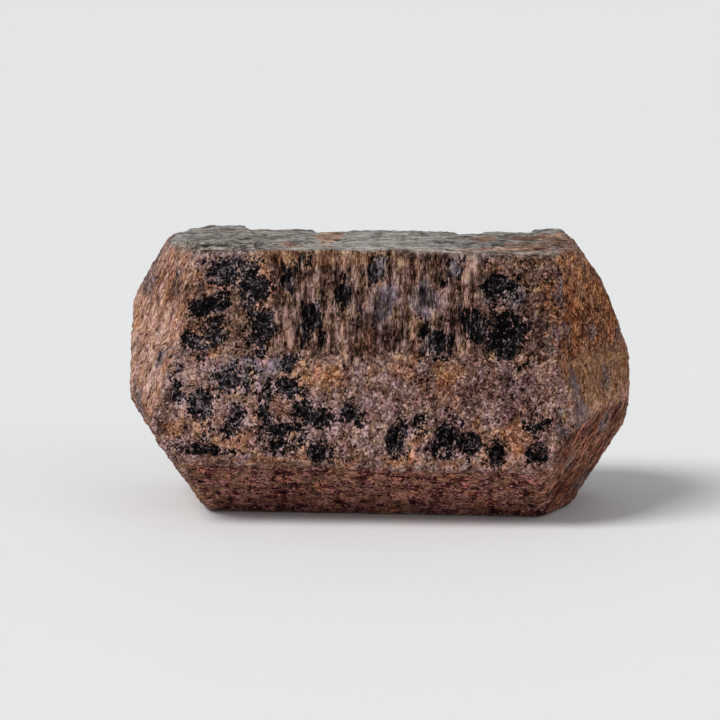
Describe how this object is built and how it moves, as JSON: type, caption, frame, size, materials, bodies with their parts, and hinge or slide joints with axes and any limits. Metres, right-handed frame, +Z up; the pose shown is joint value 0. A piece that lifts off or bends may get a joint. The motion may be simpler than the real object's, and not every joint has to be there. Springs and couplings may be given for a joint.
{
  "type": "vesuvianite crystal",
  "caption": "Stout brown mineral crystal, a flat-sided prism with blunt pyramid ends, striated and pitted, lying on one long flat face for display.",
  "frame": {"origin": "on the face the crystal rests on, under the middle of its bounding box", "axes": "+Z up, +X along the crystal's long axis, the broad front face looks along -Y"},
  "size_m": [0.0658, 0.0346, 0.0365],
  "materials": {
    "crystal": "granular brown mineral with dark glossy patches, grey sheets on the top face and rust-coloured ends"
  },
  "bodies": {
    "root": {"crystal": "crystal"}
  },
  "joints": []
}
